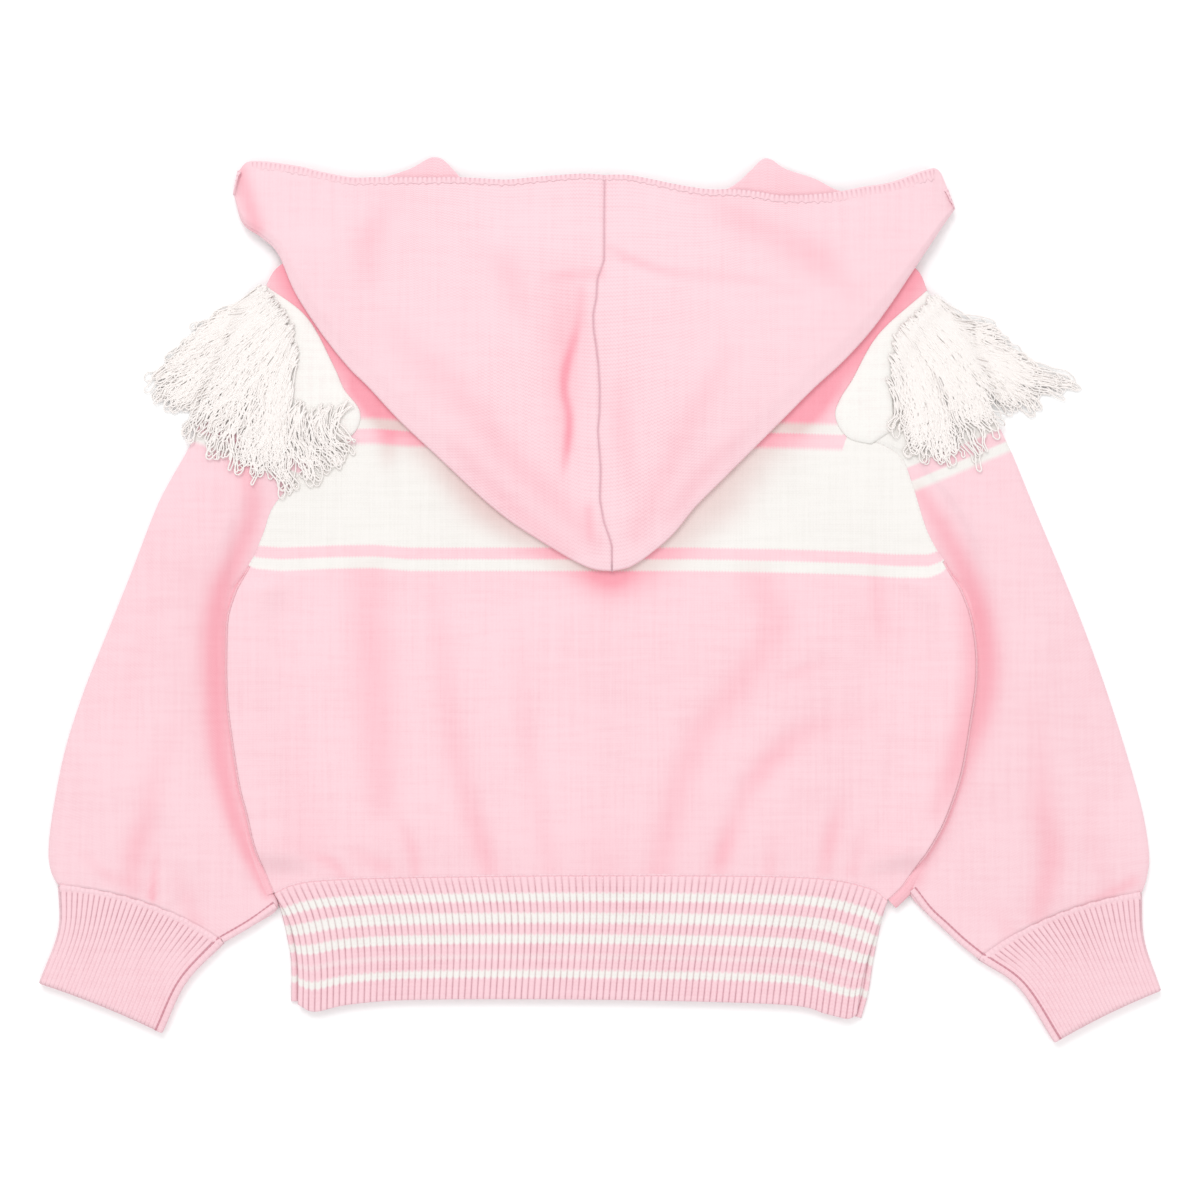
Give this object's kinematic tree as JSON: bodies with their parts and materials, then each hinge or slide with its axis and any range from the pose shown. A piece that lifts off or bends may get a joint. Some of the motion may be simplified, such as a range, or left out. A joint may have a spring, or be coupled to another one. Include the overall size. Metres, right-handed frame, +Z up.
{
  "type": "hooded baby cardigan",
  "caption": "Fine-knit hooded baby cardigan laid flat with its back up: ribbed hem and cuffs, white chest bands and looped yarn fringe at the armholes.",
  "frame": {"origin": "middle of the garment's box, on the surface it lies on", "axes": "+X to the right as seen from above, +Y towards the hood, +Z up, out of the garment's back"},
  "size_m": [0.472, 0.372, 0.0109],
  "materials": {
    "pink_knit": "matt fine stockinette knit, pale pink with white bands",
    "pink_rib": "matt 1x1 rib knit, pale pink, the hem with white stripes",
    "white_yarn": "matt soft white yarn"
  },
  "bodies": {
    "root": {"back": "pink_knit", "front_left": "pink_knit", "front_right": "pink_knit", "hem_back": "pink_rib", "hem_front_left": "pink_rib", "hem_front_right": "pink_rib", "sleeve_left": "pink_knit", "sleeve_right": "pink_knit", "cuff_left": "pink_rib", "cuff_right": "pink_rib", "hood_left": "pink_knit", "hood_right": "pink_knit", "fringe_left": "white_yarn", "fringe_right": "white_yarn"}
  },
  "joints": []
}
